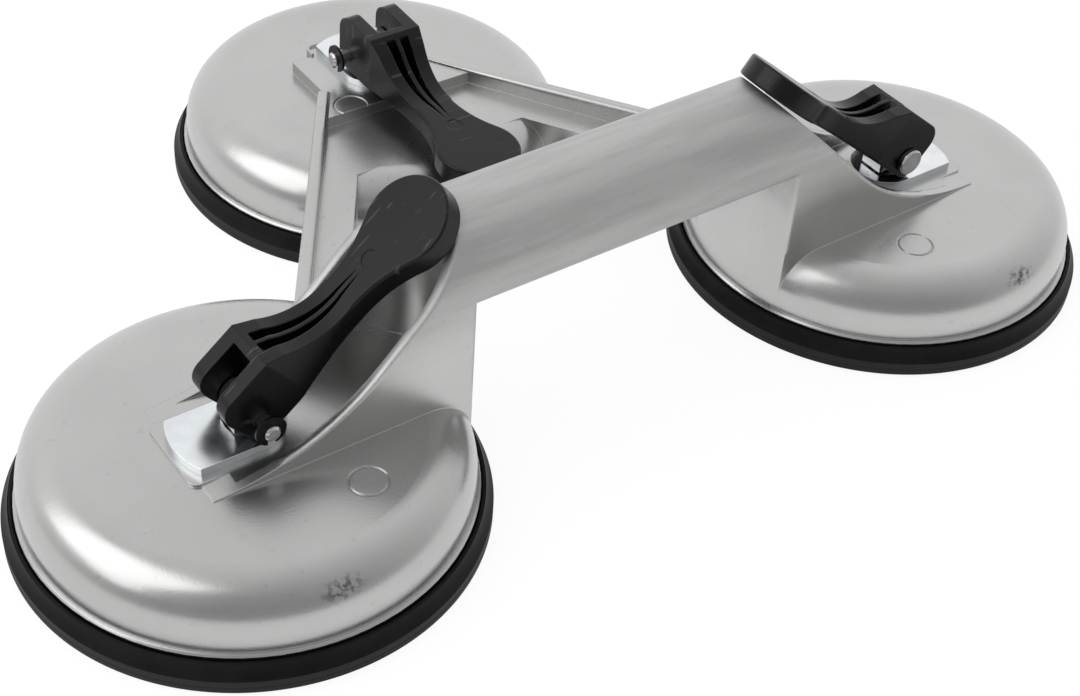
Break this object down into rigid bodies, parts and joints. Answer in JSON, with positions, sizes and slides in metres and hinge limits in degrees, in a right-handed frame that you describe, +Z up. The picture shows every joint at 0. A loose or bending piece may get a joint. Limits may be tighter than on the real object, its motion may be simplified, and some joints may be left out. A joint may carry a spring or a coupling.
{
  "type": "suction lifter",
  "caption": "Suction lifter with a hand grip, rubber cups in a triangle and cam levers that draw each cup's centre up to hold a smooth sheet.",
  "frame": {"origin": "centre of the underside of the whole part's box, on the plane the rubber pads rest on", "axes": "+X along the grip, +Y from the grip towards the rear cup, +Z up"},
  "size_m": [0.326, 0.233, 0.0786],
  "materials": {
    "casting": "satin",
    "pad": "matte",
    "lever": "satin",
    "plated": "zinc plated",
    "steel": "turned",
    "clip": "blackened"
  },
  "bodies": {
    "frame": {"frame_casting": "casting", "rubber_pad_left": "pad", "rubber_pad_right": "pad", "rubber_pad_rear": "pad", "pressure_plate_left": "plated", "pressure_plate_right": "plated", "pressure_plate_rear": "plated"},
    "stem_left": {"backing_disc_left": "steel", "lift_stem_left": "steel", "pivot_pin_left": "steel", "retaining_clip_left": "clip"},
    "stem_right": {"backing_disc_right": "steel", "lift_stem_right": "steel", "pivot_pin_right": "steel", "retaining_clip_right": "clip"},
    "stem_rear": {"backing_disc_rear": "steel", "lift_stem_rear": "steel", "pivot_pin_rear": "steel", "retaining_clip_rear": "clip"},
    "lever_left": {"cam_lever_left": "lever"},
    "lever_right": {"cam_lever_right": "lever"},
    "lever_rear": {"cam_lever_rear": "lever"}
  },
  "joints": [
    {"name": "stem_lift_left", "type": "slide", "parent": "frame", "child": "stem_left", "axis": [0, 0, 1], "range_m": [0, 0.0064]},
    {"name": "lever_turn_left", "type": "hinge", "parent": "stem_left", "child": "lever_left", "pos_m": [-0.103, -0.0565, 0.0346], "axis": [0, -1, 0], "range_deg": [0, 140.7]},
    {"name": "stem_lift_right", "type": "slide", "parent": "frame", "child": "stem_right", "axis": [0, 0, 1], "range_m": [0, 0.0064]},
    {"name": "lever_turn_right", "type": "hinge", "parent": "stem_right", "child": "lever_right", "pos_m": [0.103, -0.0565, 0.0346], "axis": [0, 1, 0], "range_deg": [0, 140.7]},
    {"name": "stem_lift_rear", "type": "slide", "parent": "frame", "child": "stem_rear", "axis": [0, 0, 1], "range_m": [0, 0.0064]},
    {"name": "lever_turn_rear", "type": "hinge", "parent": "stem_rear", "child": "lever_rear", "pos_m": [0, 0.0565, 0.0371], "axis": [-1, 0, 0], "range_deg": [0, 182]}
  ],
  "couplings": [
    {"joint": "lever_turn_left", "follows": "stem_lift_left", "rad_per_m": 383.69},
    {"joint": "lever_turn_right", "follows": "stem_lift_right", "rad_per_m": 383.69},
    {"joint": "lever_turn_rear", "follows": "stem_lift_rear", "rad_per_m": 496.3}
  ]
}
